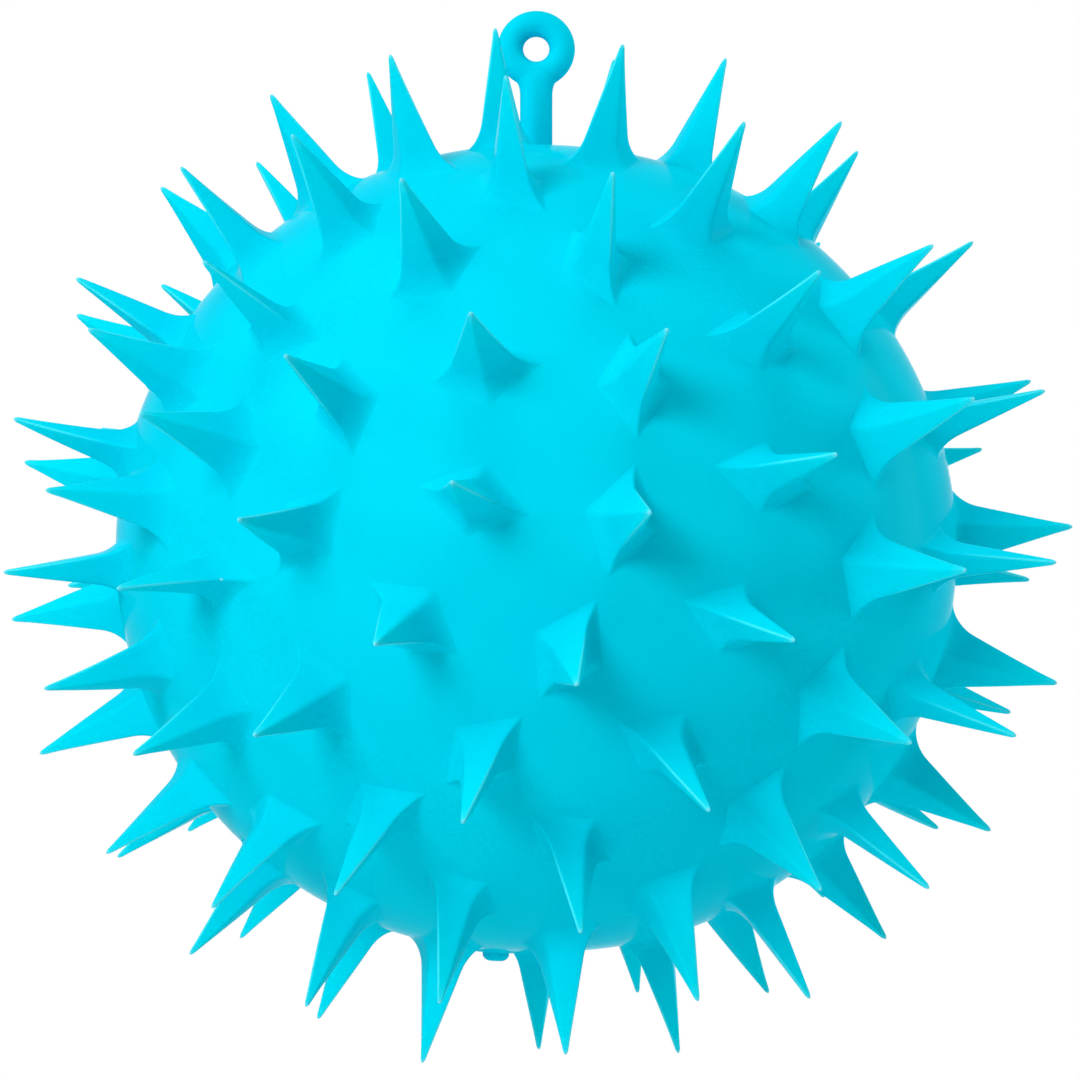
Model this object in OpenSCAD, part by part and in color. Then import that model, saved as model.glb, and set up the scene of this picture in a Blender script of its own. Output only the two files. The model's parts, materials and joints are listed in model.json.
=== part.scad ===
// Hollow soft rubber ball, covered with four-sided spikes, with a hanging loop on top and a fill plug below.
// Millimetres, +Z up through the loop.
// The origin lies under the middle of the ball, on the plane that it stands on.

/* [Ball] */
// Width of the bare ball across its middle
ball_w = 95; // [88:1:110]
// Height of the bare ball, a little less than its width
ball_h = 90.7; // [80:0.1:95]
// Thickness of the rubber skin
skin_wall = 2.2; // [1.4:0.1:4]

/* [Spikes] */
// Length of a spike from the skin to its tip
spike_len = 13; // [8:0.5:18]
// Longer diagonal of a spike's four-sided foot
spike_foot_long = 10.4; // [7:0.1:11]
// Shorter diagonal of a spike's four-sided foot
spike_foot_short = 6.4; // [4:0.1:7]
// Diagonal of a spike's blunt tip
spike_tip_w = 0.7; // [0.4:0.1:1.4]
// Part of the foot's size that is the flare at the root
spike_flare = 0.22; // [0:0.02:0.4]
// Clearance between a spike's foot, or the loop's foot, and the skin
seat_gap = 0.25; // [0.2:0.01:0.4]

/* [Spike rings] */
// Height of the rings' own pole above level, in degrees
pole_lift = 9; // [0:1:20]
// Turn of the rings' own pole from the front towards the left, in degrees
pole_swing = 41.5; // [0:0.5:90]
// How much lower the spikes on the ball's sides sit than even spacing sets them, in degrees round the pole
side_sag = 2; // [0:0.5:4]
// How much closer to the loop the spikes beside it stand, in degrees round the pole
loop_crowd = 3; // [0:0.5:4]
// How much closer to the pole the same spikes stand, in degrees
loop_draw = 2; // [0:0.5:4]

/* [Hanging loop] */
// Diameter of the hole through the loop's eye
eye_hole_d = 3; // [2:0.1:5]
// Diameter of the round section of the eye's ring
eye_thick = 3.2; // [2.6:0.1:4]
// How far the straight hole cuts into the ring's round section
eye_trim = 0.2; // [0.1:0.05:0.4]
// Height of the eye's middle above the skin
eye_rise = 12.9; // [12:0.1:18]
// Diameter of the stem that carries the eye
stem_d = 3.8; // [3:0.1:4.4]
// Width to which the neck between the stem and the eye flares
neck_w = 5; // [4.6:0.1:5.4]
// Height over which the neck flares
neck_h = 2.6; // [1.5:0.1:4]
// Thickness of the neck, front to back
neck_thick = 2.4; // [1.6:0.1:2.6]
// Height above the skin at which the stem bends
bend_rise = 3.6; // [3.2:0.1:5]
// Diameter of the top of the loop's foot, where the stem sits
loop_foot_top_d = 4; // [3.6:0.1:5]
// Thickness of the thin edge of the loop's foot, below its fillet
loop_foot_edge = 0.3; // [0.2:0.05:0.6]
// Clearance between the stem's round end and its seat
bend_gap = 0.2; // [0.1:0.05:0.3]
// Furthest bend of the loop either way, in degrees
bend_angle = 55; // [20:1:60]

/* [Fill plug] */
// Diameter of the hole in the skin for the plug
plug_hole_d = 4; // [3:0.1:5]
// Radial clearance of the plug in its hole
plug_gap = 0.15; // [0.1:0.05:0.3]
// Diameter of the plug's outer head
plug_head_d = 6; // [5.6:0.1:6.4]
// Height of the plug's outer head
plug_head_h = 0.5; // [0.3:0.1:1.2]
// Diameter of the small nub on the head
plug_nub_d = 2.8; // [2:0.1:3.6]
// Height of the nub above the head
plug_nub_h = 0.6; // [0.4:0.1:1.4]
// Diameter of the flange that holds the plug from inside
plug_flange_d = 7; // [5.8:0.1:9]
// Thickness of that flange
plug_flange_h = 1.2; // [0.8:0.1:2]
// Lean of the plug from straight down, towards the left, in degrees
plug_lean = 3; // [0:1:4]

/* [Hidden] */
$fn = 96;

// The ball is a half circle turned about Z.
// On a ball wider than high the circle's centre lies a little outside the axis, and a flat disc closes each end.
// On a ball higher than wide the halves stand apart on a tube.
arc_r = min(ball_w, ball_h) / 2;
arc_out = max(ball_w - ball_h, 0) / 2;
arc_up = max(ball_h - ball_w, 0) / 2;

// The spikes stand in rings round a pole that lies almost level: angle from the pole, count and first turn.
ring_angles = [0, 17, 35, 53, 70.5, 89, 108.5, 127, 146, 163, 180];
ring_counts = [1, 6, 12, 16, 18, 20, 18, 16, 12, 6, 1];
ring_turns = [0, -12, -11, -8, -7, -5, -9, -11, -17, -12, 0];
ring_last = len(ring_counts) - 1;

pole_axis = [-sin(pole_swing) * cos(pole_lift), -cos(pole_swing) * cos(pole_lift), sin(pole_lift)];
ring_up = ([0, 0, 1] - pole_axis * sin(pole_lift)) / cos(pole_lift);
ring_side = cross(pole_axis, ring_up);

// Turn of spike i about the pole, from the upper side, where its ring is spaced evenly.
function even_turn(ring, i) = ring_turns[ring] + 360 * i / ring_counts[ring];

// How much a spike feels the loop: 1 beside it, and less with distance.
loop_side_turn = -26;
crowd_power = 8;
function beside_loop(ring, i) =
    sin(ring_angles[ring]) * pow(max(cos(even_turn(ring, i) - loop_side_turn), 0), crowd_power);

// Turn of spike i about the pole, and its angle from the pole.
function spike_turn(ring, i) =
    even_turn(ring, i) + side_sag * sin(even_turn(ring, i)) + loop_crowd * beside_loop(ring, i);
function spike_angle(ring, i) = ring_angles[ring] - loop_draw * beside_loop(ring, i);

// Direction in which spike i of a ring stands out of the skin.
function spike_dir(ring, i) =
    cos(spike_angle(ring, i)) * pole_axis
    + sin(spike_angle(ring, i)) * (cos(spike_turn(ring, i)) * ring_up + sin(spike_turn(ring, i)) * ring_side);

// Centre of the skin's arc for a direction.
function arc_centre(dir) =
    arc_out * [dir.x, dir.y, 0] / norm([dir.x, dir.y])
    + [0, 0, arc_up * sign(dir.z)];

// The levels are slices of the ball of equal height, numbered upwards from 1.
level_count = 11;
function level_of(dir) = floor((dir.z + 1) / 2 * level_count) + 1;

// The ball stands on its lowest tips.
function tip_bottom(dir) =
    arc_centre(dir).z + (arc_r + spike_len) * dir.z - spike_tip_w / 2 * norm([dir.x, dir.y]);
tip_bottoms = [for (ring = [0:ring_last])
                   for (i = [0:ring_counts[ring] - 1])
                       tip_bottom(spike_dir(ring, i))];
stand_h = -min(tip_bottoms);

// One spike's outline: a straight taper with a flare that dies out a fifth of the way up.
flare_power = 8;
spike_sections = [0.05, 0.12, 0.22, 0.4, 1];
section_last = len(spike_sections);
function taper(t) = (1 - spike_flare) * (1 - t) + spike_flare * pow(1 - t, flare_power);
function half_at(foot, t) = spike_tip_w / 2 + (foot - spike_tip_w) / 2 * taper(t);

// An arc falls away from the plane that touches it by this much at a distance.
function arc_drop(radius, distance) = radius - sqrt(radius * radius - distance * distance);
function skin_drop(distance) = arc_drop(arc_r, distance);

// Four corners of a spike at one height, and of its foot, which follows the skin.
function corners(half_x, half_y, z) = [[half_x, 0, z], [0, half_y, z], [-half_x, 0, z], [0, -half_y, z]];
function foot_corners(half_x, half_y) = let (
        low_x = seat_gap - skin_drop(half_x),
        low_y = seat_gap - skin_drop(half_y)
    ) [[half_x, 0, low_x], [0, half_y, low_y], [-half_x, 0, low_x], [0, -half_y, low_y]];

// A spike standing on the origin along +Z, with the given diagonals of its foot.
module spike(foot_x, foot_y) {
    rising = [for (t = spike_sections) each corners(half_at(foot_x, t), half_at(foot_y, t), t * spike_len)];
    points = concat(foot_corners(foot_x / 2, foot_y / 2), rising, [[0, 0, seat_gap]]);
    middle = len(points) - 1;
    top = 4 * section_last;
    sides = [for (s = [0:section_last - 1]) for (k = [0:3]) let (
                a = 4 * s + k,
                b = 4 * s + (k + 1) % 4
            ) each [[a, a + 4, b + 4], [a, b + 4, b]]];
    underside = [for (k = [0:3]) [middle, k, (k + 1) % 4]];
    tip = [[top, top + 2, top + 1], [top, top + 3, top + 2]];
    polyhedron(points = points, faces = concat(sides, underside, tip));
}

// Spike i of a ring in its place. The long diagonal lies across the ring and along it, ring by ring in turn.
module placed_spike(ring, i) {
    across = ring % 2 == 0;
    translate([0, 0, stand_h] + arc_centre(spike_dir(ring, i)))
        rotate([0, pole_lift - 90, 90 - pole_swing])
            rotate([0, 0, spike_turn(ring, i)])
                rotate([0, spike_angle(ring, i), 0])
                    translate([0, 0, arc_r])
                        spike(across ? spike_foot_long : spike_foot_short,
                              across ? spike_foot_short : spike_foot_long);
}

module spikes_of_level(level)
    for (ring = [0:ring_last])
        for (i = [0:ring_counts[ring] - 1])
            if (level_of(spike_dir(ring, i)) == level)
                placed_spike(ring, i);

// Half of the ball's section, grown or shrunk from the skin's outer face by a distance.
module half_section(grow) {
    round_r = arc_r + grow;
    if (arc_out > 0)
        translate([0, -round_r])
            square([arc_out, 2 * round_r]);
    if (arc_up > 0)
        translate([0, -arc_up])
            square([round_r, 2 * arc_up]);
    for (side = arc_up > 0 ? [-1, 1] : [0])
        intersection() {
            translate([arc_out, side * arc_up])
                circle(r = round_r);
            translate([arc_out, -ball_h])
                square([ball_w, 2 * ball_h]);
        }
}

// Places a piece that stands along +Z on the skin's arc so that it points down and leans by plug_lean.
module at_plug()
    translate([-arc_out * sign(plug_lean), 0, stand_h - arc_up])
        rotate([0, 180 + plug_lean, 0])
            translate([0, 0, arc_r])
                children();

module ball_skin()
    color("deepskyblue")
        difference() {
            translate([0, 0, stand_h])
                rotate_extrude()
                    difference() {
                        half_section(0);
                        half_section(-skin_wall);
                    }
            at_plug()
                translate([0, 0, -2 * skin_wall])
                    cylinder(d = plug_hole_d, h = 4 * skin_wall);
        }

// The plug: nub and head outside, a neck through the skin and a flange inside.
plug_inner_seat = -skin_wall - arc_drop(arc_r - skin_wall, plug_flange_d / 2) - plug_gap;
plug_inner_end = plug_inner_seat - plug_flange_h;
plug_head_top = plug_gap + plug_head_h;
module fill_plug()
    color("turquoise")
        at_plug() {
            translate([0, 0, plug_gap])
                cylinder(d = plug_head_d, h = plug_head_h);
            translate([0, 0, plug_gap])
                cylinder(d = plug_nub_d, h = plug_head_h + plug_nub_h);
            translate([0, 0, plug_inner_end])
                cylinder(d = plug_hole_d - 2 * plug_gap, h = plug_head_top - plug_inner_end);
            translate([0, 0, plug_inner_end])
                cylinder(d = plug_flange_d, h = plug_flange_h);
        }

// The loop's foot is a filleted boss on the flat top of the skin, with a round seat for the stem's end.
skin_top = stand_h + arc_up + arc_r;
bend_z = skin_top + bend_rise;
eye_z = skin_top + eye_rise;
seat_margin = 10;
seat_r = stem_d / 2 + bend_gap;
loop_foot_base = skin_top + seat_gap;
loop_foot_top = bend_z - seat_r * sin(bend_angle + seat_margin);
loop_foot_fillet = loop_foot_top - loop_foot_base - loop_foot_edge;
loop_foot_r = loop_foot_top_d / 2 + loop_foot_fillet;
module loop_foot()
    color("darkturquoise")
        rotate_extrude()
            difference() {
                translate([0, loop_foot_base])
                    square([loop_foot_r, loop_foot_top - loop_foot_base]);
                translate([loop_foot_r, loop_foot_top])
                    circle(r = loop_foot_fillet);
                translate([0, bend_z])
                    circle(r = seat_r);
            }

// The loop: a round-ended stem with a flaring neck, and a ring of round section with a short straight hole.
eye_r = eye_hole_d / 2 + eye_thick - eye_trim;
eye_ring_r = eye_r - eye_thick / 2;
neck_top = eye_z - eye_ring_r;
neck_inset = 0.3;
module neck()
    translate([0, 0, neck_top])
        rotate([90, 0, 0])
            linear_extrude(height = neck_thick, center = true)
                polygon([[-neck_w / 2, 0],
                         [neck_inset - stem_d / 2, -neck_h],
                         [stem_d / 2 - neck_inset, -neck_h],
                         [neck_w / 2, 0]]);

module hanging_loop()
    color("cyan")
        difference() {
            union() {
                translate([0, 0, bend_z])
                    sphere(d = stem_d);
                translate([0, 0, bend_z])
                    cylinder(d = stem_d, h = neck_top - bend_z);
                neck();
                translate([0, 0, eye_z])
                    rotate([90, 0, 0])
                        rotate_extrude()
                            translate([eye_ring_r, 0])
                                circle(d = eye_thick);
            }
            translate([0, 0, eye_z])
                rotate([90, 0, 0])
                    cylinder(d = eye_hole_d, h = 4 * eye_thick, center = true);
        }

module spikes_level_01() color("dodgerblue") spikes_of_level(1);
module spikes_level_02() color("deepskyblue") spikes_of_level(2);
module spikes_level_03() color("dodgerblue") spikes_of_level(3);
module spikes_level_04() color("deepskyblue") spikes_of_level(4);
module spikes_level_05() color("dodgerblue") spikes_of_level(5);
module spikes_level_06() color("deepskyblue") spikes_of_level(6);
module spikes_level_07() color("dodgerblue") spikes_of_level(7);
module spikes_level_08() color("deepskyblue") spikes_of_level(8);
module spikes_level_09() color("dodgerblue") spikes_of_level(9);
module spikes_level_10() color("deepskyblue") spikes_of_level(10);
module spikes_level_11() color("dodgerblue") spikes_of_level(11);

ball_skin();
fill_plug();
loop_foot();
hanging_loop();
spikes_level_01();
spikes_level_02();
spikes_level_03();
spikes_level_04();
spikes_level_05();
spikes_level_06();
spikes_level_07();
spikes_level_08();
spikes_level_09();
spikes_level_10();
spikes_level_11();
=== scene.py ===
# %% [markdown]
# A spiky sensory ball: a hollow ball of soft cyan rubber, covered with four-sided spikes, with a
# hanging loop moulded on top and a small fill plug below. This lesson dresses its imported model.
# Every piece is worked out with numpy in the model's own frame, in metres, and all but the loop are
# then told which body of the model they move with.

import json

import bpy
import numpy as np
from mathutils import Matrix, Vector


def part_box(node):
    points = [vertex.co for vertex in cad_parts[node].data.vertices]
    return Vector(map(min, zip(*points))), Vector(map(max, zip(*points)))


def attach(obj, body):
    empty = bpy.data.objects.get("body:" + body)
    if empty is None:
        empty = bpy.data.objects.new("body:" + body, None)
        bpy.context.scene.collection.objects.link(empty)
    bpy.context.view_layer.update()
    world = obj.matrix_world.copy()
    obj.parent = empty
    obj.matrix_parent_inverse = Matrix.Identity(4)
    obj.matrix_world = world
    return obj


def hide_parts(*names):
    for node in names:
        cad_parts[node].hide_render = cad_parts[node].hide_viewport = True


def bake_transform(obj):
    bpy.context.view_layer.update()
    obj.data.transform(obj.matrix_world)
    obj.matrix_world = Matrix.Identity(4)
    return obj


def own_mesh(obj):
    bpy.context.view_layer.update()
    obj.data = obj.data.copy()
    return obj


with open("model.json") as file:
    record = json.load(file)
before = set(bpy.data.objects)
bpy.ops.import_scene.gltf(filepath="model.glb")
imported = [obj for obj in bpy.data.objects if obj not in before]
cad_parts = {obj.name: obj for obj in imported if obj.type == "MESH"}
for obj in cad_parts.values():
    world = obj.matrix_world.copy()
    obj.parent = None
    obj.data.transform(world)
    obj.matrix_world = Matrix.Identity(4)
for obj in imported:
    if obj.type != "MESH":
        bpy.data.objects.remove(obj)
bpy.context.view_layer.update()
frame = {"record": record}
MM = 0.001

# %% [markdown]
# Almost everything on this ball is a tube: the skin is a tube that closes at both poles, a spike
# is a tube that closes at its tip, and so are the plug and the loop's stem. Blender's own spheres
# and cones could stand in for them, but none has the right outline. One helper therefore turns
# rings of points into a closed surface. It takes many tubes at once, so that all spikes of a level
# become one mesh in a few array steps.

# %% A helper that closes rings of points


def tube_faces(tubes, rows, columns):
    """Quads between neighbouring rings, and a fan of triangles to a middle point at each end.

    Point (tube, row, column) has the number (tube * rows + row) * columns + column. The middle
    points of all first rings follow after these, and then those of all last rings.
    """
    ring_start = np.arange(tubes * rows).reshape(tubes, rows, 1) * columns
    this = np.arange(columns)
    after = np.roll(this, -1)
    low, high = ring_start[:, :-1], ring_start[:, 1:]
    quads = np.stack([low + this, low + after, high + after, high + this], axis=-1)
    first, last = ring_start[:, 0], ring_start[:, -1]
    first_middle = np.repeat(tubes * rows * columns + np.arange(tubes)[:, None], columns, axis=1)
    start_fan = np.stack([first_middle, first + after, first + this], axis=-1)
    end_fan = np.stack([first_middle + tubes, last + this, last + after], axis=-1)
    fans = np.concatenate([start_fan.reshape(-1, 3), end_fan.reshape(-1, 3)])
    return quads.reshape(-1, 4).tolist() + fans.tolist()


def with_middles(values):
    """Values of shape (tubes, rows, columns, ...) in one row, then the mean of each end's ring."""
    end_means = [values[:, 0].mean(axis=1), values[:, -1].mean(axis=1)]
    return np.concatenate([values.reshape(-1, *values.shape[3:])] + end_means)


print("A tube of 2 rings of 4 points has", len(tube_faces(1, 2, 4)), "faces")

# %% [markdown]
# A second helper makes a mesh object from such tubes. A number can be given for each point, and
# becomes a named attribute of the mesh, which a finish can read later. A UV map could carry two such
# numbers, but an attribute has a name that says what it is.

# %% A helper that makes an object from tubes


def add_object(name, mesh):
    """A smoothly shaded object at the origin with the given mesh, in the scene."""
    mesh.shade_smooth()
    piece = bpy.data.objects.new(name, mesh)
    bpy.context.scene.collection.objects.link(piece)
    print(name, "has", len(mesh.vertices), "points and", len(mesh.polygons), "faces")
    return piece


def tube_object(name, rings, **point_values):
    """A mesh object from rings of points of shape (tubes, rows, columns, 3), in metres."""
    tubes, rows, columns = rings.shape[:3]
    mesh = bpy.data.meshes.new(name)
    mesh.from_pydata(with_middles(rings).tolist(), [], tube_faces(tubes, rows, columns))
    for label, values in point_values.items():
        attribute = mesh.attributes.new(label, "FLOAT", "POINT")
        attribute.data.foreach_set("value", with_middles(values))
    return add_object(name, mesh)


# %% [markdown]
# The bare ball is a little flatter than a sphere. Its outline is a half circle as high as the
# ball, whose centre lies a little outside the axis, so a small flat disc closes each pole. A UV
# sphere could be scaled to about this shape, but from the formula the spikes can later be set on
# exactly the same surface.

# %% The bare ball
BALL_WIDTH = 95 * MM
BALL_HEIGHT = 90.7 * MM
SMALLEST_LENGTH = 1e-9

arc_radius = BALL_HEIGHT / 2
arc_out = (BALL_WIDTH - BALL_HEIGHT) / 2
skin_low, skin_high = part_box("ball_skin")
ball_centre = np.array([0, 0, (skin_low.z + skin_high.z) / 2])
print("Middle of the ball at", np.round(ball_centre / MM, 2), "mm")


def arc_centres(directions):
    """Centre of the outline's half circle on the side of each direction: arc_out off the axis."""
    flat = directions * [1, 1, 0]
    length = np.linalg.norm(flat, axis=-1, keepdims=True)
    return ball_centre + arc_out * flat / np.maximum(length, SMALLEST_LENGTH)


def turned_rings(radii, heights, columns):
    """Rings about +Z from an outline: at each angle (radius cos, radius sin, height)."""
    turns = np.linspace(0, 2 * np.pi, columns, endpoint=False)
    x = radii[:, None] * np.cos(turns)
    y = radii[:, None] * np.sin(turns)
    return np.stack([x, y, np.broadcast_to(heights[:, None], x.shape)], axis=-1)[None]


# %% [markdown]
# The skin is the outline turned about the vertical axis. It could be left a single surface, since
# nobody sees its inside. A Solidify modifier gives it its real wall, inwards, so that the piece is
# a hollow shell like the moulding.

# %% The skin
SKIN_WALL = 2.2 * MM
SKIN_ROWS = 121
SKIN_COLUMNS = 240

latitude = np.linspace(-np.pi / 2, np.pi / 2, SKIN_ROWS)
skin_radii = arc_out + arc_radius * np.cos(latitude)
skin_heights = ball_centre[2] + arc_radius * np.sin(latitude)
skin = tube_object("rubber_skin", turned_rings(skin_radii, skin_heights, SKIN_COLUMNS))
wall = skin.modifiers.new("wall", "SOLIDIFY")
wall.thickness = SKIN_WALL
wall.offset = -1

# %% [markdown]
# The spikes stand in rings round a pole of their own, which lies almost level and points to the
# left and the front. The counts grow from one spike on the pole to twenty round the middle and
# shrink again. A formula that spreads points evenly over a sphere would be shorter, but it makes
# spirals and not these rings. The spacing in a ring is almost even: on the sides the spikes of the
# hanging ball sit a little lower, and beside the loop they crowd towards it.

# %% Where the spikes stand
POLE_LIFT = np.radians(9)
POLE_SWING = np.radians(41.5)
RING_ANGLES = np.radians([0, 17, 35, 53, 70.5, 89, 108.5, 127, 146, 163, 180])
RING_COUNTS = np.array([1, 6, 12, 16, 18, 20, 18, 16, 12, 6, 1])
RING_TURNS = np.radians([0, -12, -11, -8, -7, -5, -9, -11, -17, -12, 0])
SIDE_SAG = np.radians(2)
LOOP_CROWD = np.radians(3)
LOOP_DRAW = np.radians(2)
LOOP_SIDE_TURN = np.radians(-26)
CROWD_POWER = 8

pole = np.array([
    -np.sin(POLE_SWING) * np.cos(POLE_LIFT),
    -np.cos(POLE_SWING) * np.cos(POLE_LIFT),
    np.sin(POLE_LIFT)])
ring_up = ([0, 0, 1] - pole * np.sin(POLE_LIFT)) / np.cos(POLE_LIFT)
ring_side = np.cross(pole, ring_up)

ring = np.repeat(np.arange(len(RING_COUNTS)), RING_COUNTS)
place = np.concatenate([np.arange(count) for count in RING_COUNTS])
even_turn = RING_TURNS[ring] + 2 * np.pi * place / RING_COUNTS[ring]
loop_side = np.clip(np.cos(even_turn - LOOP_SIDE_TURN), 0, 1) ** CROWD_POWER
beside_loop = np.sin(RING_ANGLES[ring]) * loop_side
turn = (even_turn + SIDE_SAG * np.sin(even_turn) + LOOP_CROWD * beside_loop)[:, None]
angle = (RING_ANGLES[ring] - LOOP_DRAW * beside_loop)[:, None]
print(len(ring), "spikes in", len(RING_COUNTS), "rings")

# %% [markdown]
# Each spike's foot is a rhombus. Its long diagonal lies across the ring in every second ring and
# along the ring in the others, as on the real ball. Three directions per spike say how it stands:
# its axis, its long way and its short way. They do what a rotation would do, and can be worked out
# for all spikes at once.

# %% How the spikes stand
outward = np.cos(turn) * ring_up + np.sin(turn) * ring_side
spike_axis = np.cos(angle) * pole + np.sin(angle) * outward
across_ring = np.cos(angle) * outward - np.sin(angle) * pole
along_ring = np.cos(turn) * ring_side - np.sin(turn) * ring_up
long_is_across = (ring % 2 == 0)[:, None]
long_way = np.where(long_is_across, across_ring, along_ring)
short_way = np.where(long_is_across, along_ring, -across_ring)
foot_middle = arc_centres(spike_axis) + arc_radius * spike_axis
print("Lowest foot at", round(foot_middle[:, 2].min() / MM, 1), "mm")

# %% [markdown]
# Seen from the side a spike tapers straight to a small round tip and runs out into the skin in a
# round fillet. A four-sided cone would stand on the skin like a separate stud. Here a quarter
# ellipse widens the spike's half diagonals towards the foot. Inside the skin the foot goes on as a
# sloping skirt. It comes into view only where a squeezed skin sinks away from the foot, and then
# leads down to it without a step.

# %% The heights of one spike
SPIKE_LENGTH = 13 * MM
FILLET_HEIGHT = 2.8 * MM
FOOT_SINK = 0.03 * MM
SKIRT_DEPTH = 1.0 * MM
ROOT_SINK = 2.0 * MM
TIP_ROUND = 0.5 * MM
TIP_TURN = 1.45
SHAFT_ROWS = 8
TIP_ROWS = 5

root_heights = [-ROOT_SINK, -SKIRT_DEPTH]
fillet_turn = np.radians([88, 86, 80, 72, 63, 54, 45, 36, 27, 18, 9, 0])
fillet_heights = FILLET_HEIGHT - (FILLET_HEIGHT + FOOT_SINK) * np.sin(fillet_turn)
shaft_heights = np.linspace(FILLET_HEIGHT, SPIKE_LENGTH - TIP_ROUND, SHAFT_ROWS)[1:]
tip_turn = np.linspace(0, TIP_TURN, TIP_ROWS)[1:]
tip_heights = SPIKE_LENGTH - TIP_ROUND * (1 - np.sin(tip_turn))
spike_heights = np.concatenate([root_heights, fillet_heights, shaft_heights, tip_heights])
print("A spike has", len(spike_heights), "rows of points")

# %% [markdown]
# The widths follow row by row: the taper gives a straight side, the fillet and the skirt add to it
# at the foot, and the tip narrows along a quarter ellipse. One fillet width would do for a round
# foot, but the foot of the real spike ends in a point at both ends of its long diagonal, so the
# fillet reaches further that way.

# %% The widths of one spike
TIP_HALF = 0.28 * MM
ROOT_LONG = 4.0 * MM
ROOT_SHORT = 2.45 * MM
FILLET_LONG = 2.3 * MM
FILLET_SHORT = 1.7 * MM
SKIRT_WIDTH = 0.8 * MM

foot_row = len(root_heights)
fillet_share = 1 - np.cos(fillet_turn)
spread = np.zeros(len(spike_heights))
spread[:foot_row] = fillet_share[0]
spread[foot_row:foot_row + len(fillet_share)] = fillet_share
skirt = np.where(np.arange(len(spike_heights)) < foot_row, SKIRT_WIDTH, 0)
tip_narrowing = np.ones(len(spike_heights))
tip_narrowing[-len(tip_turn):] = np.cos(tip_turn)


def half_diagonal(root, fillet_width):
    """Straight taper from the root's width to the tip's width, plus the fillet and the skirt."""
    taper = 1 - np.clip(spike_heights, 0, None) / SPIKE_LENGTH
    width = TIP_HALF + (root - TIP_HALF) * taper + fillet_width * spread + skirt
    return width * tip_narrowing


half_long = half_diagonal(ROOT_LONG, FILLET_LONG)[:, None, None]
half_short = half_diagonal(ROOT_SHORT, FILLET_SHORT)[:, None, None]
print("A foot runs out at", round(2 * half_long[foot_row].item() / MM, 1), "mm along its long way")

# %% [markdown]
# Seen along its axis a spike is a rhombus with rounded corners, and the four corners are the ridges
# of the spike. The two at the ends of the long diagonal are sharper than the other two. A Bevel
# modifier would round all four alike. Here each corner is an arc, whose middle lies on the diagonal,
# just as far inside the corner as makes the arc touch both sides.

# %% The section of one spike
SHARP_ROUND = 0.2 * MM
BLUNT_ROUND = 0.8 * MM
CORNERS = 4
ARC_POINTS = 5
SIDE_POINTS = 3

corner_number = np.arange(CORNERS)[:, None]
corner_turn = corner_number * np.pi / 2
is_sharp = corner_number % 2 == 0
side_length = np.hypot(half_long, half_short)
side_distance = half_long * half_short / side_length
corner_round = np.minimum(np.where(is_sharp, SHARP_ROUND, BLUNT_ROUND), side_distance / 2)
to_corner = np.where(is_sharp, half_long, half_short)
to_next_corner = np.where(is_sharp, half_short, half_long)
to_arc_middle = to_corner - corner_round * side_length / to_next_corner
arc_share = np.linspace(-1, 1, ARC_POINTS)
side_share = np.arange(1, SIDE_POINTS + 1) / (SIDE_POINTS + 1)
arc_turn = corner_turn + np.arctan2(to_corner, to_next_corner) * arc_share


def with_sides(arcs):
    """Each arc, followed by points on the straight way from its end to the start of the next arc."""
    side_start = arcs[:, :, -1:]
    side_end = np.roll(arcs, -1, axis=1)[:, :, :1]
    sides = side_start + (side_end - side_start) * side_share
    return np.concatenate([arcs, sides], axis=2).reshape(len(arcs), -1)


spike_long = with_sides(to_arc_middle * np.cos(corner_turn) + corner_round * np.cos(arc_turn))
spike_short = with_sides(to_arc_middle * np.sin(corner_turn) + corner_round * np.sin(arc_turn))
print("A spike has", spike_long.size, "points")

# %% [markdown]
# No two spikes of the soft moulding stand quite alike: each leans a little and differs a little in
# length. The variation is drawn once from a seeded generator, so that every run makes the same
# ball. A foot follows the curved skin: each point drops by what the skin falls away from the plane
# of the foot. A Shrinkwrap modifier could do that too, but would need the skin at every pose.

# %% All spikes in their places
SEED = 11
LEAN = 0.3 * MM
LENGTH_SPREAD = 0.01

variation = np.random.default_rng(SEED)
leans = variation.normal(0, LEAN, (len(ring), 2))
stretch = 1 + variation.normal(0, LENGTH_SPREAD, (len(ring), 1))

each = (slice(None), None, None)
in_foot = foot_middle[each] + spike_long[..., None] * long_way[each]
in_foot = in_foot + spike_short[..., None] * short_way[each]
from_arc = in_foot - arc_centres(in_foot - ball_centre)
skin_drop = np.linalg.norm(from_arc, axis=-1) - arc_radius
stretched = FILLET_HEIGHT + (spike_heights - FILLET_HEIGHT) * stretch
own_heights = np.where(spike_heights > FILLET_HEIGHT, stretched, spike_heights)
rise = own_heights[..., None] - skin_drop
bend = (np.clip(spike_heights, 0, None) / SPIKE_LENGTH)[:, None, None] ** 2
sideways = leans[:, :1] * long_way + leans[:, 1:] * short_way
spike_rings = in_foot + rise[..., None] * spike_axis[each] + bend * sideways[each]
print("Highest spike point at", round(spike_rings[..., 2].max() / MM, 1), "mm")

# %% [markdown]
# Light shines through thin rubber: a spike turns lighter towards its tip, the tip itself is pale,
# and so are the upper stretches of its two sharp ridges. Subsurface scattering could show that, but
# it would draw a line round each foot, where separate meshes meet. So the colour itself turns
# lighter, and each point carries three numbers for it: how far up the spike it lies, how near it is
# to the tip, and how near it is to a sharp ridge.

# %% Painted glow on the thin spikes
TIP_PALE_FROM = 12.3 * MM
RIDGE_PALE_FROM = 3 * MM
RIDGE_PALE_TO = 9 * MM


def height_share(start, end):
    """0 below the start height and 1 above the end height, in a straight rise, for each row."""
    return np.clip((spike_heights - start) / (end - start), 0, 1)[:, None]


# These numbers mask the painted glow of light through the thin rubber.
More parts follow.
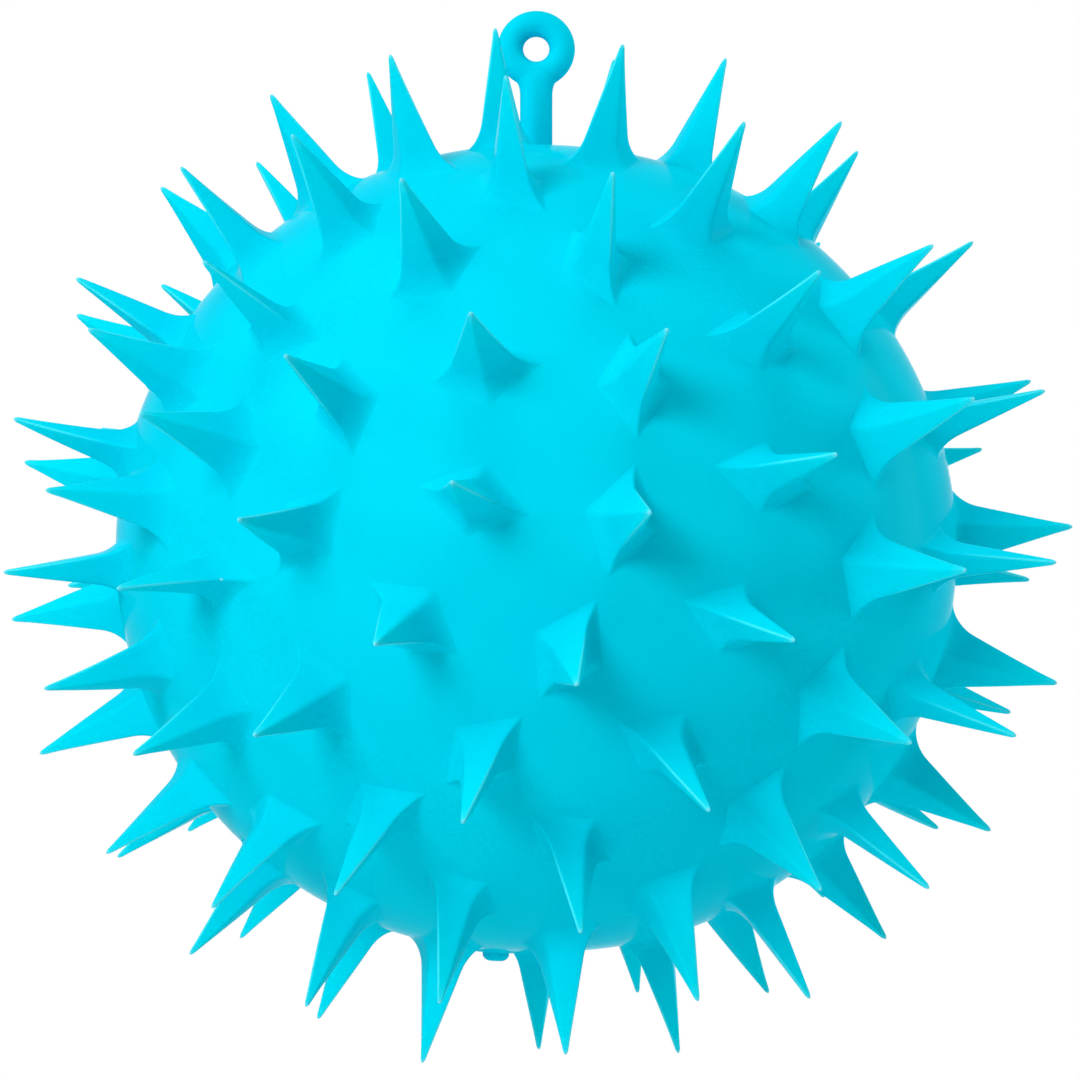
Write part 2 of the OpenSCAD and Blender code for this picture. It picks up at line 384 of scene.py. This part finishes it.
on_ridge = np.zeros((CORNERS, ARC_POINTS + SIDE_POINTS))
on_ridge[:, :ARC_POINTS] = is_sharp * (1 - np.abs(arc_share))
ridge_share = on_ridge.ravel() * height_share(RIDGE_PALE_FROM, RIDGE_PALE_TO)
tip_share = height_share(TIP_PALE_FROM, SPIKE_LENGTH) ** 2
point_shape = spike_rings.shape[:3]
thin_values = np.broadcast_to(height_share(0, SPIKE_LENGTH), point_shape)
tip_values = np.broadcast_to(tip_share, point_shape)
ridge_values = np.broadcast_to(ridge_share, point_shape)
print((tip_share > 0).sum(), "of", len(tip_share), "rows of a spike turn pale")

# %% [markdown]
# In the model the spikes are grouped in levels of equal height, because a squeezed ball gives most
# at its top and least at its bottom. Each level becomes one piece that rides on its own body and
# stands for its own node. One piece for each spike would only make the list of pieces long.

# %% Spikes by level
LEVELS = 11

level = np.floor((spike_axis[:, 2] + 1) / 2 * LEVELS).astype(int) + 1
bodies = frame["record"]["behaviour"]["bodies"]
body_of = {node: body for body, nodes in bodies.items() for node in nodes}
spike_pieces = []
for number in range(1, LEVELS + 1):
    chosen = level == number
    node = f"spikes_level_{number:02d}"
    piece = tube_object(f"rubber_spikes_{number:02d}", spike_rings[chosen],
                        thin=thin_values[chosen], tip=tip_values[chosen],
                        ridge=ridge_values[chosen])
    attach(piece, body_of[node])
    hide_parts(node)
    spike_pieces.append(piece)

# %% [markdown]
# A squeeze lowers the crown, and the levels below follow in proportion. On the real ball the skin
# between them flattens along with them; here the skin only rides on the ball's body, with a mesh of
# its own.


def give_way(piece):
    """Gives a piece its own copy of its mesh."""
    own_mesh(piece)


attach(skin, "ball")
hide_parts("ball_skin")
give_way(skin)

# %% [markdown]
# The loop is cast in one with the ball: a round stem that widens into a ring. The stem is a tube
# of oval sections, wider at the skin and at the neck, where quarter circles lead into the ball and
# into the ring. A plain cylinder would meet both in sharp corners, which soft rubber does not have.
# Inside the skin the stem has the same sloping skirt as the spikes.

# %% The loop's stem
EYE_RADIUS = 4.5 * MM
EYE_HOLE = 3 * MM
STEM_RADIUS = 1.88 * MM
STEM_ROOT = 1.6 * MM
STEM_FLARE = 1.2 * MM
STEM_ROWS = 60
STEM_COLUMNS = 64
NECK_SPREAD = 1.5 * MM
NECK_HEIGHT = 2.4 * MM
NECK_HALF_DEPTH = 1.6 * MM

eye_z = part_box("hanging_loop")[1].z - EYE_RADIUS
skin_top = ball_centre[2] + arc_radius
ring_section = (EYE_RADIUS - EYE_HOLE / 2) / 2
eye_ring_radius = EYE_RADIUS - ring_section
neck_z = eye_z - eye_ring_radius
# The stem ends inside the ring, a third of the section's half width above its middle.
stem_end = neck_z + ring_section / 3


def quarter_round(distance, size):
    """Rises along a quarter circle, from 0 at one size away to 1 at no distance."""
    near = 1 - np.clip(distance / size, 0, 1)
    return 1 - np.sqrt(1 - near ** 2)


stem_z = np.linspace(skin_top - STEM_ROOT, stem_end, STEM_ROWS)
stem_flare = STEM_FLARE * quarter_round(np.clip(stem_z - skin_top, 0, None), STEM_FLARE)
stem_flare = stem_flare + SKIRT_WIDTH * np.clip((skin_top - stem_z) / SKIRT_DEPTH, 0, 1)
neck = quarter_round(np.clip(neck_z - stem_z, 0, None), NECK_HEIGHT)
stem_x = STEM_RADIUS + stem_flare + NECK_SPREAD * neck
stem_y = STEM_RADIUS + stem_flare + (NECK_HALF_DEPTH - STEM_RADIUS) * neck
stem_rings = turned_rings(np.ones(STEM_ROWS), stem_z, STEM_COLUMNS)
stem_rings[..., 0] *= stem_x[:, None]
stem_rings[..., 1] *= stem_y[:, None]
stem_points = with_middles(stem_rings)
stem_faces = tube_faces(1, STEM_ROWS, STEM_COLUMNS)
print("The stem ends at", round(stem_end / MM, 1), "mm")

# %% [markdown]
# The eye is a ring of oval section. Blender's torus has a round one, so the ring is worked out from
# two angles, one round the hole and one round the section. It closes on itself both ways: its last
# row of points joins its first.

# %% The loop's eye
EYE_HALF_DEPTH = 1.6 * MM
EYE_TURNS = 96
EYE_COLUMNS = 48

eye_turn = np.linspace(0, 2 * np.pi, EYE_TURNS, endpoint=False)[:, None]
section_turn = np.linspace(0, 2 * np.pi, EYE_COLUMNS, endpoint=False)
eye_reach = eye_ring_radius + ring_section * np.cos(section_turn)
eye_x = eye_reach * np.sin(eye_turn)
eye_y = np.broadcast_to(EYE_HALF_DEPTH * np.sin(section_turn), eye_x.shape)
eye_points = np.stack([eye_x, eye_y, eye_z + eye_reach * np.cos(eye_turn)], axis=-1)
corner = np.arange(EYE_TURNS * EYE_COLUMNS).reshape(EYE_TURNS, EYE_COLUMNS)
next_turn = np.roll(corner, -1, axis=0)
next_corner = np.roll(corner, -1, axis=1)
eye_quads = np.stack([corner, next_corner, np.roll(next_turn, -1, axis=1), next_turn], axis=-1)
print("Middle of the eye at", round(eye_z / MM, 1), "mm")

# %% [markdown]
# Ring and stem become one surface, as they are on the moulding. A Boolean union would leave a crease
# between them. A voxel remesh fuses them, and a light smoothing rounds the neck.

# %% The whole loop
LOOP_VOXEL = 0.14 * MM
LOOP_SMOOTHING = 12
SMOOTHING_FACTOR = 0.5

rough_points = np.concatenate([stem_points, eye_points.reshape(-1, 3)])
rough_faces = stem_faces + (len(stem_points) + eye_quads).reshape(-1, 4).tolist()
rough_mesh = bpy.data.meshes.new("loop_rough")
rough_mesh.from_pydata(rough_points.tolist(), [], rough_faces)
rough = add_object("loop_rough", rough_mesh)
fuse = rough.modifiers.new("fuse", "REMESH")
fuse.mode = "VOXEL"
fuse.voxel_size = LOOP_VOXEL
rounding = rough.modifiers.new("rounding", "SMOOTH")
rounding.factor = SMOOTHING_FACTOR
rounding.iterations = LOOP_SMOOTHING
fused = rough.evaluated_get(bpy.context.evaluated_depsgraph_get())
loop_mesh = bpy.data.meshes.new_from_object(fused)
bpy.data.objects.remove(rough)
loop = add_object("rubber_loop", loop_mesh)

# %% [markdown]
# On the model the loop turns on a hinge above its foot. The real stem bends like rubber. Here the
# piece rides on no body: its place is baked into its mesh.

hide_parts("hanging_loop", "loop_foot")
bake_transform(loop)

# %% [markdown]
# The plug closes the hole through which the ball is filled with air: a low head with a small nub
# outside, a neck through the skin and a flange inside. Stacked cylinders would give its main forms,
# but look like metal. So it is an outline turned about its own axis, with its outer edges rounded by
# quarter ellipses. It stands a little left of the ball's lowest point.

# %% The outline of the fill plug
PLUG_HEAD = 3 * MM
PLUG_HEAD_TOP = 0.2 * MM
PLUG_NUB = 1.5 * MM
PLUG_NUB_TOP = 1.15 * MM
PLUG_NECK = 1.85 * MM
PLUG_SEAT = -0.2 * MM
PLUG_FLANGE = 3.5 * MM
PLUG_FLANGE_TOP = -2.5 * MM
PLUG_END = -3.7 * MM
HEAD_EDGE = np.array([1.1, 0.45]) * MM
NUB_EDGE = np.array([0.95, 0.8]) * MM
NUB_FILLET = np.array([0.15, 0.05]) * MM
EDGE_POINTS = 7


def round_corner(middle, edge, start, end):
    """A quarter ellipse about a point (radius, height), with the half axes of edge, between angles."""
    turns = np.radians(np.linspace(start, end, EDGE_POINTS))[:, None]
    return middle + edge * np.concatenate([np.cos(turns), np.sin(turns)], axis=1)


plug_outline = np.concatenate([
    [[PLUG_FLANGE, PLUG_END], [PLUG_FLANGE, PLUG_FLANGE_TOP], [PLUG_NECK, PLUG_FLANGE_TOP]],
    [[PLUG_NECK, PLUG_SEAT], [PLUG_HEAD, PLUG_SEAT]],
    round_corner(np.array([PLUG_HEAD, PLUG_HEAD_TOP]) - HEAD_EDGE, HEAD_EDGE, 0, 90),
    round_corner(np.array([PLUG_NUB, PLUG_HEAD_TOP]) + NUB_FILLET, NUB_FILLET, 270, 180),
    round_corner(np.array([PLUG_NUB, PLUG_NUB_TOP]) - NUB_EDGE, NUB_EDGE, 0, 90)])
print("The plug's outline has", len(plug_outline), "points")

# %% [markdown]
# The outline is turned about +Z by the helper that made the skin. Three directions then lay it on
# the plug's own axis, with its place in the mesh, so that the object itself stays at the origin.

# %% The fill plug
PLUG_LEAN = np.radians(3)
PLUG_COLUMNS = 64

plug_axis = np.array([-np.sin(PLUG_LEAN), 0, -np.cos(PLUG_LEAN)])
plug_side = np.array([np.cos(PLUG_LEAN), 0, -np.sin(PLUG_LEAN)])
plug_turn = np.stack([plug_side, np.cross(plug_axis, plug_side), plug_axis])
plug_place = ball_centre + [-arc_out, 0, 0] + arc_radius * plug_axis
plug_rings = turned_rings(plug_outline[:, 0], plug_outline[:, 1], PLUG_COLUMNS)
plug = tube_object("rubber_plug", plug_rings @ plug_turn + plug_place)
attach(plug, "ball")
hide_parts("fill_plug")
give_way(plug)

# %% [markdown]
# All pieces are one batch of rubber. Its finish could be painted into images, but shader nodes need
# no file and show no seams. A few small helpers keep them readable: one adds a node, one makes
# noise, one maps a range of values to another, one mixes colours and one combines two values.

# %% Helpers for shader nodes


def add_node(tree, kind, location, **settings):
    """A new shader node at a place in the editor, with its settings."""
    node = tree.nodes.new(kind)
    node.location = location
    for name, value in settings.items():
        setattr(node, name, value)
    return node


def noise(tree, coordinates, scale, detail, location):
    """A noise texture on object coordinates; its factor lies round one half."""
    node = add_node(tree, "ShaderNodeTexNoise", location)
    node.inputs["Scale"].default_value = scale
    node.inputs["Detail"].default_value = detail
    tree.links.new(coordinates, node.inputs["Vector"])
    return node.outputs["Fac"]


def remap(tree, value, from_range, to_range, location):
    """A straight map from one range of values to another, held at its ends."""
    node = add_node(tree, "ShaderNodeMapRange", location)
    for label, number in zip(("From Min", "From Max", "To Min", "To Max"), from_range + to_range):
        node.inputs[label].default_value = number
    tree.links.new(value, node.inputs["Value"])
    return node.outputs["Result"]


def mix_colour(tree, factor, first, second, location):
    """A mix of the output of a node or a colour with a second colour."""
    node = add_node(tree, "ShaderNodeMix", location, data_type="RGBA")
    tree.links.new(factor, node.inputs["Factor"])
    if isinstance(first, tuple):
        node.inputs["A"].default_value = first
    else:
        tree.links.new(first, node.inputs["A"])
    node.inputs["B"].default_value = second
    return node.outputs["Result"]


def combine(tree, operation, first, second, location):
    """A product or the greater of two values, by a Math node."""
    node = add_node(tree, "ShaderNodeMath", location, operation=operation)
    tree.links.new(first, node.inputs[0])
    tree.links.new(second, node.inputs[1])
    return node.outputs[0]


print("Node helpers are ready")

# %% [markdown]
# The rubber is a saturated cyan. Its colour drifts a little over the ball, as pigment does in a soft
# moulding. On the spikes it turns paler with a painted glow, where light shines through the thin
# rubber. The numbers that the points of a spike carry say where that is.

# %% The colours of the rubber
RUBBER = (0.0, 0.695, 0.88, 1)
RUBBER_DEEP = (0.0, 0.665, 0.865, 1)
# Painted glow: light shining through the thin upper spike, its sharp ridges and its tip.
PAINTED_SPIKE_GLOW = (0.0, 0.77, 0.92, 1)
PAINTED_RIDGE_GLOW = (0.07, 0.84, 0.95, 1)
PAINTED_TIP_GLOW = (0.20, 0.80, 0.92, 1)
DRIFT_SCALE = 38
DRIFT_DETAIL = 3
DRIFT_RANGE = (0.35, 0.65)


def rubber_colour(tree, coordinates):
    """Two close shades of cyan, mixed by slow noise."""
    drift = noise(tree, coordinates, DRIFT_SCALE, DRIFT_DETAIL, (-1200, 300))
    drift = remap(tree, drift, DRIFT_RANGE, (0, 1), (-1000, 300))
    return mix_colour(tree, drift, RUBBER, RUBBER_DEEP, (-800, 300))


def paint_glow_through(tree, colour):
    """Painted glow through thin rubber: upper end, sharp ridges and tip, where the points say so."""
    thin = add_node(tree, "ShaderNodeAttribute", (-1200, 1200), attribute_name="thin")
    colour = mix_colour(tree, thin.outputs["Fac"], colour, PAINTED_SPIKE_GLOW, (-800, 500))
    ridge = add_node(tree, "ShaderNodeAttribute", (-1200, 800), attribute_name="ridge")
    colour = mix_colour(tree, ridge.outputs["Fac"], colour, PAINTED_RIDGE_GLOW, (-600, 500))
    tip = add_node(tree, "ShaderNodeAttribute", (-1200, 1000), attribute_name="tip")
    return mix_colour(tree, tip.outputs["Fac"], colour, PAINTED_TIP_GLOW, (-400, 500))


print("The main colour of the rubber is", RUBBER[:3])

# %% [markdown]
# A few specks of dust cling to soft rubber. They could be small meshes, but as spots of colour they
# cost no faces. A Voronoi pattern divides space into cells: near the middle of a cell its distance
# is small, and the random colour of the cell decides whether a speck lies there.

# %% Dust on the rubber
DUST = (0.25, 0.82, 0.93, 1)
DUST_CELLS = 95
SPECK_EDGE = (0.010, 0.022)
SPECK_LOTTERY = (0.62, 0.64)
SPECK_STRENGTH = 0.7


def dust_specks(tree, coordinates, colour):
    """Small round specks at the middle of some cells of a Voronoi pattern."""
    cells = add_node(tree, "ShaderNodeTexVoronoi", (-1200, 0))
    cells.inputs["Scale"].default_value = DUST_CELLS
    tree.links.new(coordinates, cells.inputs["Vector"])
    near = remap(tree, cells.outputs["Distance"], SPECK_EDGE, (1, 0), (-1000, 0))
    lottery = add_node(tree, "ShaderNodeSeparateColor", (-1000, -150))
    tree.links.new(cells.outputs["Color"], lottery.inputs["Color"])
    rare = remap(tree, lottery.outputs["Red"], SPECK_LOTTERY, (0, SPECK_STRENGTH), (-800, -150))
    speck = combine(tree, "MULTIPLY", near, rare, (-600, -50))
    return mix_colour(tree, speck, colour, DUST, (-200, 300))


print("One cell of dust is about", round(1 / DUST_CELLS / MM, 1), "mm wide")

# %% [markdown]
# The rubber is satin to the touch. Its shine is tinted by the rubber and very weak, and shows only
# at grazing angles, as a narrow pale rim. A fine grain breaks it up. Sheen could make a pale rim
# too, but a broad one, like that of velvet.

# %% The finish of the rubber
GRAIN_SCALE = 1500
GRAIN_DETAIL = 4
GRAIN_RANGE = (0.3, 0.7)
GRAIN_STRENGTH = 0.1
GRAIN_DEPTH = 0.005 * MM
SATIN_ROUGHNESS = (0.12, 0.16)
RUBBER_IOR = 1.45
SHINE_LEVEL = 0.001
SHINE_TINT = (0.02, 0.75, 1, 1)


def rubber_material(name, with_spikes):
    """Satin cyan rubber with a fine grain; on spikes also with painted glow at upper ends, tips and
    ridges.
    """
    material = bpy.data.materials.new(name)
    material.use_nodes = True
    tree = material.node_tree
    shader = tree.nodes["Principled BSDF"]
    coordinates = add_node(tree, "ShaderNodeTexCoord", (-1400, 0)).outputs["Object"]
    colour = rubber_colour(tree, coordinates)
    if with_spikes:
        colour = paint_glow_through(tree, colour)
    tree.links.new(dust_specks(tree, coordinates, colour), shader.inputs["Base Color"])
    grain = noise(tree, coordinates, GRAIN_SCALE, GRAIN_DETAIL, (-1200, -400))
    satin = remap(tree, grain, GRAIN_RANGE, SATIN_ROUGHNESS, (-800, -350))
    tree.links.new(satin, shader.inputs["Roughness"])
    bump = add_node(tree, "ShaderNodeBump", (-400, -500))
    bump.inputs["Strength"].default_value = GRAIN_STRENGTH
    bump.inputs["Distance"].default_value = GRAIN_DEPTH
    tree.links.new(grain, bump.inputs["Height"])
    tree.links.new(bump.outputs["Normal"], shader.inputs["Normal"])
    shader.inputs["IOR"].default_value = RUBBER_IOR
    shader.inputs["Specular IOR Level"].default_value = SHINE_LEVEL
    shader.inputs["Specular Tint"].default_value = SHINE_TINT
    print(name, "has", len(tree.nodes), "nodes")
    return material


# %% [markdown]
# Skin, loop and plug share one finish, and the spikes have the same with their painted glow, which
# makes their upper ends, tips and ridges pale.

# %% The finish on the pieces
smooth_rubber = rubber_material("satin_rubber", with_spikes=False)
spike_rubber = rubber_material("satin_rubber_spikes", with_spikes=True)
smooth_pieces = [skin, loop, plug]
for piece in smooth_pieces:
    piece.data.materials.append(smooth_rubber)
for piece in spike_pieces:
    piece.data.materials.append(spike_rubber)

# %% [markdown]
# The photograph shows the ball on plain white. The world therefore shows white to the camera, to
# reflections and through clear bodies, but lights the rubber at a lower level, because full white
# from all sides would wash out its shades.

# %% World
AMBIENT = 0.305
WHITE = (1, 1, 1, 1)


def seen_or_mirrored(tree):
    """1 for rays from the camera, a reflection or a clear body, and 0 for all other light."""
    path = add_node(tree, "ShaderNodeLightPath", (-900, 0)).outputs
    seen = combine(tree, "MAXIMUM", path["Is Camera Ray"], path["Is Glossy Ray"], (-700, 0))
    return combine(tree, "MAXIMUM", seen, path["Is Transmission Ray"], (-500, 0))


world = bpy.data.worlds.new("white_studio")
bpy.context.scene.world = world
world.use_nodes = True
sky_tree = world.node_tree
sky = sky_tree.nodes["Background"]
sky.inputs["Color"].default_value = WHITE
sky_strength = remap(sky_tree, seen_or_mirrored(sky_tree), (0, 1), (AMBIENT, 1), (-300, 0))
sky_tree.links.new(sky_strength, sky.inputs["Strength"])
print("The world lights the ball at", AMBIENT)

# %% [markdown]
# The floor lies well below the ball, as under a ball hung by its loop, so it stays out of the
# photograph's frame. It is white paper that takes the ball's shadow. A glow, seen by the camera and
# by reflections only, grows with the distance from the ball, where the lamps reach less and less, so
# that the paper runs out into the white of the world. A curved backdrop would hide that edge from
# one side only.

# %% Floor
FLOOR_DROP = 250 * MM
FLOOR_HALF = 4.0
PAPER = (0.9, 0.9, 0.9, 1)
PAPER_ROUGHNESS = 0.9
GLOW_REACH = (0.2, 1.4)
GLOW_STRENGTH = (0.15, 0.68)

floor_corners = FLOOR_HALF * np.array([[-1, -1], [1, -1], [1, 1], [-1, 1]])
floor_points = np.column_stack([floor_corners, np.full(len(floor_corners), -FLOOR_DROP)])
floor_mesh = bpy.data.meshes.new("studio_floor")
floor_mesh.from_pydata(floor_points.tolist(), [], [(0, 1, 2, 3)])
floor = add_object("studio_floor", floor_mesh)

paper = bpy.data.materials.new("white_paper")
paper.use_nodes = True
paper_tree = paper.node_tree
paper_shader = paper_tree.nodes["Principled BSDF"]
paper_shader.inputs["Base Color"].default_value = PAPER
paper_shader.inputs["Roughness"].default_value = PAPER_ROUGHNESS
paper_shader.inputs["Emission Color"].default_value = WHITE
paper_place = add_node(paper_tree, "ShaderNodeTexCoord", (-900, -300)).outputs["Object"]
paper_reach = add_node(paper_tree, "ShaderNodeVectorMath", (-700, -300), operation="LENGTH")
paper_tree.links.new(paper_place, paper_reach.inputs[0])
glow = remap(paper_tree, paper_reach.outputs["Value"], GLOW_REACH, GLOW_STRENGTH, (-500, -300))
seen_glow = combine(paper_tree, "MULTIPLY", seen_or_mirrored(paper_tree), glow, (-300, 0))
paper_tree.links.new(seen_glow, paper_shader.inputs["Emission Strength"])
floor_mesh.materials.append(paper)
print("Floor at", -FLOOR_DROP / MM, "mm")

# %% [markdown]
# The main soft box stands in front, to the left and above. Weaker ones on both sides and overhead
# keep the edges of the ball from going dark. The shadows of the spikes on the skin then fall to the
# right and a little down. Large lamps give them soft edges, as in the photograph, which a sun or a
# point lamp would not.

# %% Lights
LAMP_DISTANCE = 0.8


def soft_box(name, direction, size, watts):
    """A square area lamp in a direction from the ball's middle, turned towards it."""
    lamp = bpy.data.lights.new(name, "AREA")
    lamp.size = size
    lamp.energy = watts
    box = bpy.data.objects.new(name, lamp)
    away = Vector(direction).normalized()
    box.location = Vector(ball_centre.tolist()) + away * LAMP_DISTANCE
    box.rotation_mode = "QUATERNION"
    box.rotation_quaternion = away.to_track_quat("Z", "Y")
    box.visible_camera = False
    bpy.context.scene.collection.objects.link(box)
    print(name, "gives", watts, "W")


soft_box("main_soft_box", (-0.45, -0.80, 0.32), size=0.32, watts=3.4)
soft_box("left_soft_box", (-0.95, -0.10, 0.25), size=0.4, watts=0.8)
soft_box("right_soft_box", (0.85, 0.30, 0.25), size=0.4, watts=2.6)
soft_box("top_soft_box", (-0.05, -0.30, 1.00), size=0.5, watts=1.9)

# %% [markdown]
# The camera stands in front of the ball, slightly below its middle, and looks up at it through a
# long lens. The shift puts the ball where it lies in the photograph's frame. Turning the camera
# would do that too, but would also change how the ball is seen.

# %% Camera and colours
CAMERA_DISTANCE = 376.7 * MM
CAMERA_ELEVATION = np.radians(-6)
FOCAL_LENGTH = 110.3
SHIFT_X = 0.0035
SHIFT_Y = 0.0093
CLIP_START = 10 * MM

camera_data = bpy.data.cameras.new("photo_camera")
camera_data.lens = FOCAL_LENGTH
camera_data.shift_x = SHIFT_X
camera_data.shift_y = SHIFT_Y
camera_data.clip_start = CLIP_START
camera = bpy.data.objects.new("photo_camera", camera_data)
back = Vector((0, -np.cos(CAMERA_ELEVATION), np.sin(CAMERA_ELEVATION)))
camera.location = Vector(ball_centre.tolist()) + back * CAMERA_DISTANCE
camera.rotation_mode = "QUATERNION"
camera.rotation_quaternion = back.to_track_quat("Z", "Y")
bpy.context.scene.collection.objects.link(camera)
bpy.context.scene.camera = camera
bpy.context.scene.view_settings.view_transform = "Standard"
print("Camera at", [round(v / MM, 1) for v in camera.location], "mm")
